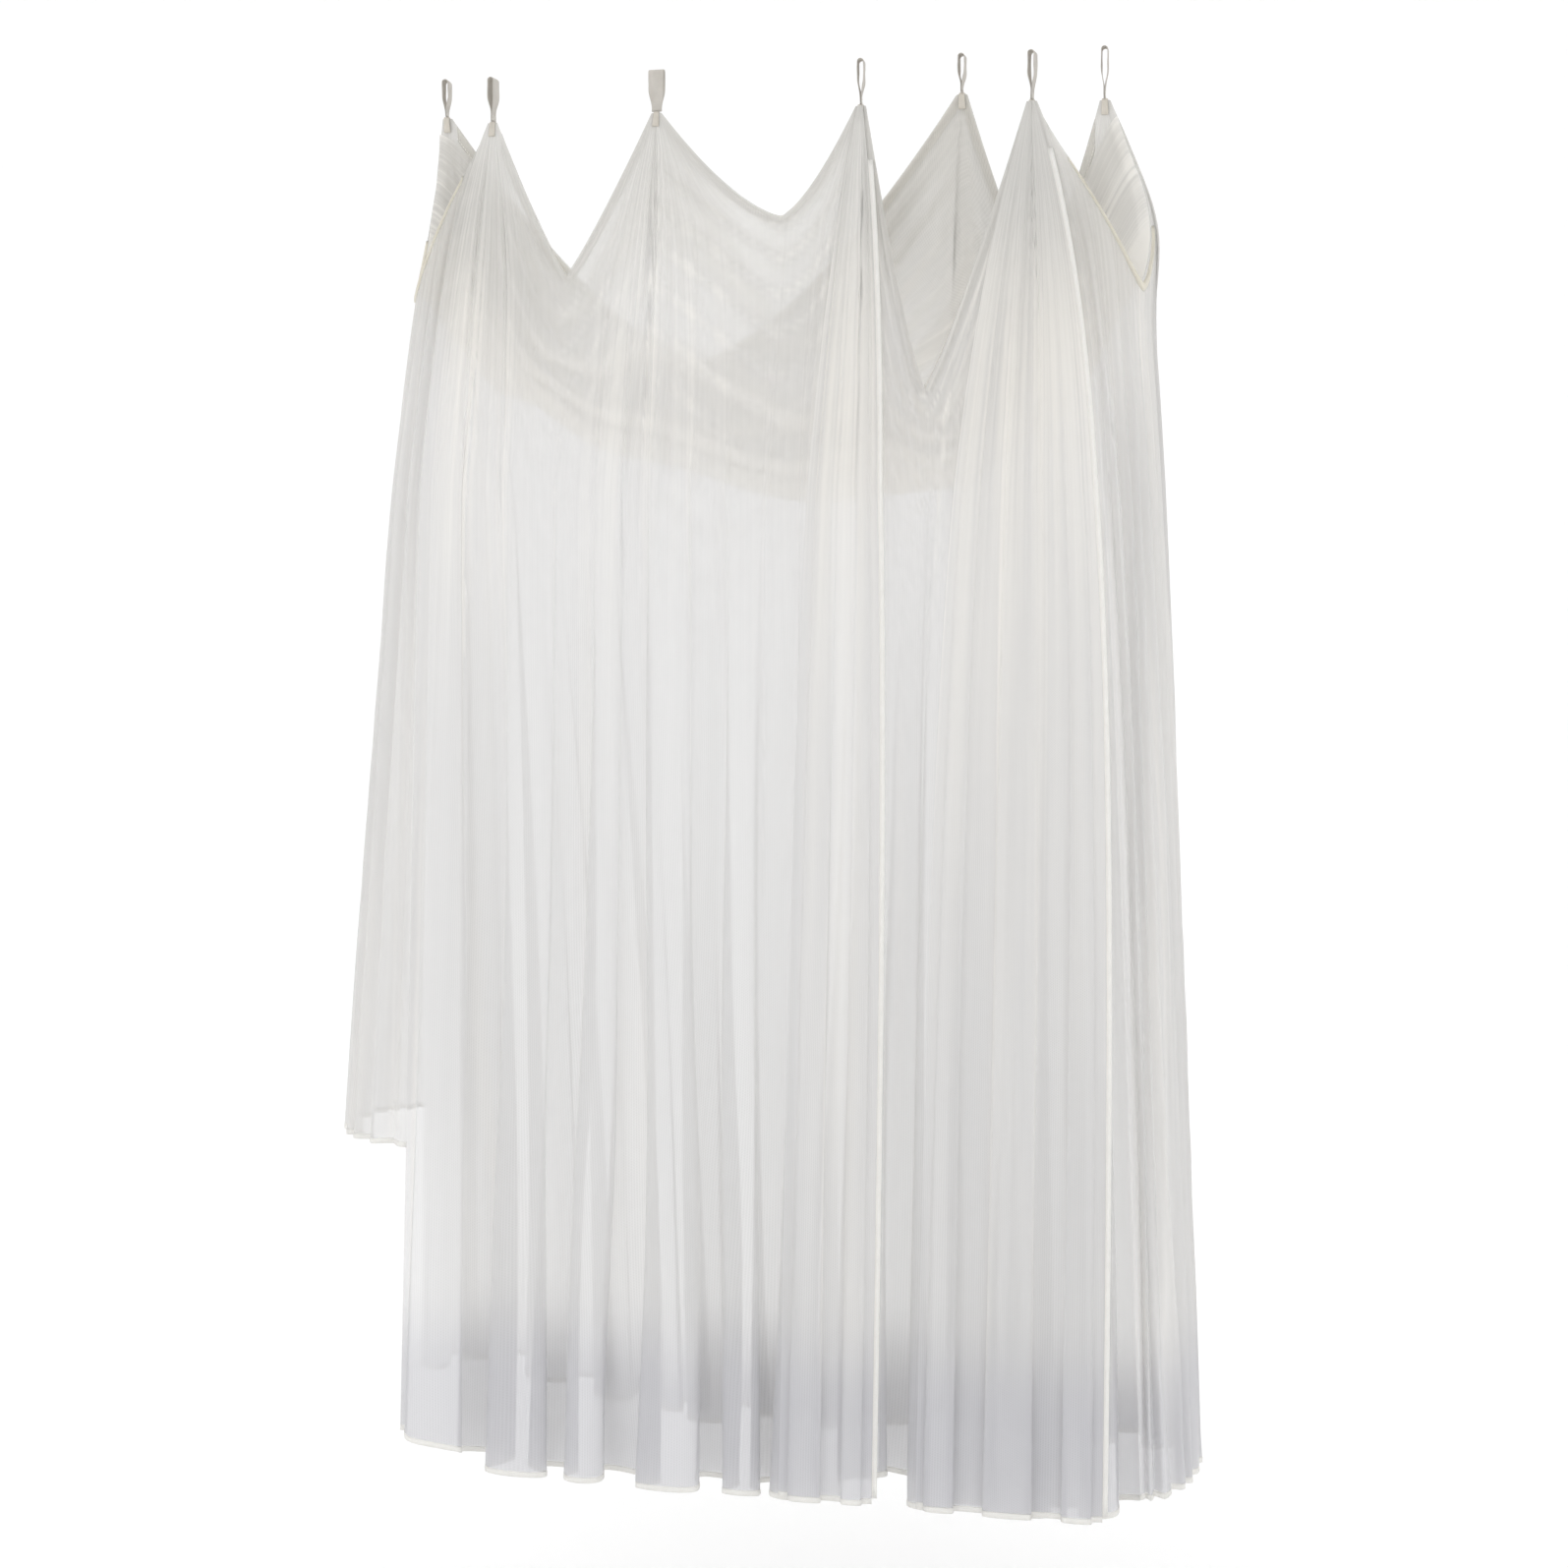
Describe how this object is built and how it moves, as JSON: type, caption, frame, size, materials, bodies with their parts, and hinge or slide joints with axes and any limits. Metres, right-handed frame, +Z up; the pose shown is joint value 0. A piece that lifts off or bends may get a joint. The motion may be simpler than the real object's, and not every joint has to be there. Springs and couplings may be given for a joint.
{
  "type": "mosquito net",
  "caption": "Square box mosquito net of sheer netting, hung from tape loops on one straight line, with a sagging roof panel, walls and entrance flaps.",
  "frame": {"origin": "middle of the straight line that the loops hang on, at the inside top of the loops", "axes": "+X along the line to the right as seen from the front, +Y towards the back of the net, +Z up"},
  "size_m": [1.4237, 0.491, 2.2155],
  "materials": {
    "netting": "sheer knitted netting",
    "hem": "narrow folded hem",
    "binding_tape": "cream cotton tape",
    "loop_tape": "woven tape",
    "tip_patch": "folded cotton patch"
  },
  "bodies": {
    "net": {"back_panel": "netting", "front_panel_left": "netting", "front_panel_right": "netting", "side_panel_left": "netting", "side_panel_right": "netting", "roof_panel": "netting", "hem_back": "hem", "hem_front_left": "hem", "hem_front_right": "hem", "hem_side_left": "hem", "hem_side_right": "hem", "edge_tape_front": "binding_tape", "edge_tape_back": "binding_tape", "edge_tape_left": "binding_tape", "edge_tape_right": "binding_tape", "loop_1": "loop_tape", "loop_2": "loop_tape", "loop_3": "loop_tape", "loop_4": "loop_tape", "loop_5": "loop_tape", "loop_6": "loop_tape", "loop_7": "loop_tape", "tip_patch_1": "tip_patch", "tip_patch_2": "tip_patch", "tip_patch_3": "tip_patch", "tip_patch_4": "tip_patch", "tip_patch_5": "tip_patch", "tip_patch_6": "tip_patch", "tip_patch_7": "tip_patch"},
    "middle_flap": {"middle_flap": "netting", "middle_flap_hem": "hem", "middle_flap_free_edge": "hem"},
    "corner_flap": {"corner_flap": "netting", "corner_flap_hem": "hem", "corner_flap_free_edge": "hem"}
  },
  "joints": [
    {"name": "middle_flap_swing", "type": "hinge", "parent": "net", "child": "middle_flap", "pos_m": [0.124, -0.009, -0.072], "axis": [0, 1, 0], "range_deg": [0, 12]},
    {"name": "corner_flap_swing", "type": "hinge", "parent": "net", "child": "corner_flap", "pos_m": [0.392, -0.01, -0.077], "axis": [0, -1, 0], "range_deg": [0, 12]}
  ]
}
